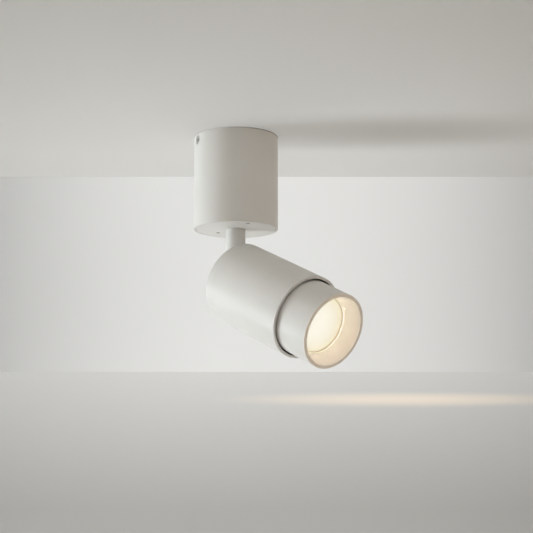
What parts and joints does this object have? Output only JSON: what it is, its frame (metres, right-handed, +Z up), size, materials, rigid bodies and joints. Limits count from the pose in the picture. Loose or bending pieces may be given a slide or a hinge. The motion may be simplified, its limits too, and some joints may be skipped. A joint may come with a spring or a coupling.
{
  "type": "surface mounted ceiling spotlight",
  "caption": "Off-white cylinder canopy for the ceiling with a round stem and a tilting, turning cylinder head, whose front barrel draws out round a recessed warm diffuser.",
  "frame": {"origin": "middle of the ceiling plate's fixing pattern, on the face that lies against the ceiling", "axes": "+Z up into the ceiling; at rest the head points along -Y and down, 65 degrees from straight down; the tilt pivot lies along X"},
  "size_m": [0.08, 0.1791, 0.2288],
  "materials": {
    "white_powder_coat": "fine matt powder coat, off-white",
    "baffle_white": "smooth satin white lacquer inside the mouth",
    "zinc_steel": "bright zinc plated",
    "dark_screw_steel": "dark phosphated",
    "brass_terminal": "plain",
    "black_rubber": "matt",
    "grey_silicone": "matt",
    "black_acetal": "smooth, dark",
    "white_nylon": "moulded, faintly translucent",
    "green_laminate": "circuit board",
    "ferrite": "sintered, with a taped winding",
    "capacitor_sleeve": "shrunk sleeve",
    "plain_aluminium": "extruded and turned, satin",
    "bright_reflector": "vacuum metallised",
    "board_ceramic": "white alumina",
    "phosphor": "silicone over phosphor",
    "opal_diffuser": "fine satin opal, lit warm white"
  },
  "bodies": {
    "canopy": {"ceiling_plate": "zinc_steel", "canopy_shell": "white_powder_coat", "side_screws": "zinc_steel", "cable_bush": "black_rubber", "earth_stud": "brass_terminal", "earth_nut": "brass_terminal", "bottom_cap": "white_powder_coat", "cap_screws": "dark_screw_steel", "stop_pin": "zinc_steel", "driver_bracket": "zinc_steel", "driver_case": "white_nylon", "driver_cover": "white_nylon", "driver_board": "green_laminate", "driver_transformer": "ferrite", "driver_capacitors": "capacitor_sleeve", "driver_screws": "zinc_steel", "terminal_block": "white_nylon", "terminal_screws": "brass_terminal", "cord_clamp": "white_nylon", "clamp_screws": "zinc_steel", "friction_washer": "black_acetal"},
    "stem": {"stem": "white_powder_coat", "stop_washer": "zinc_steel", "cone_washer": "zinc_steel", "swivel_nut": "zinc_steel", "stem_grommet": "black_rubber", "pivot_bolt": "zinc_steel", "pivot_nut": "zinc_steel"},
    "head": {"rear_cap": "white_powder_coat", "pivot_washers": "black_acetal", "rear_cap_screws": "dark_screw_steel", "wire_grommet": "black_rubber", "head_tube": "white_powder_coat", "heat_sink": "plain_aluminium", "led_board": "board_ceramic", "led_emitter": "phosphor", "led_holder": "white_nylon", "holder_screws": "zinc_steel", "reflector": "bright_reflector", "front_guide": "black_acetal", "friction_ring": "black_rubber"},
    "barrel": {"barrel_tube": "white_powder_coat", "rear_guide": "black_acetal", "baffle": "baffle_white", "lens_seal": "grey_silicone", "lens": "opal_diffuser", "lens_frame": "plain_aluminium"}
  },
  "joints": [
    {"name": "pan", "type": "hinge", "parent": "canopy", "child": "stem", "pos_m": [0, 0, -0.0832], "axis": [0, 0, 1], "range_deg": [-165, 165]},
    {"name": "tilt", "type": "hinge", "parent": "stem", "child": "head", "pos_m": [0, 0, -0.1395], "axis": [-1, 0, 0], "range_deg": [-65, 15]},
    {"name": "focus", "type": "slide", "parent": "head", "child": "barrel", "axis": [0, -0.9063, -0.4226], "range_m": [-0.024, 0.008]}
  ]
}
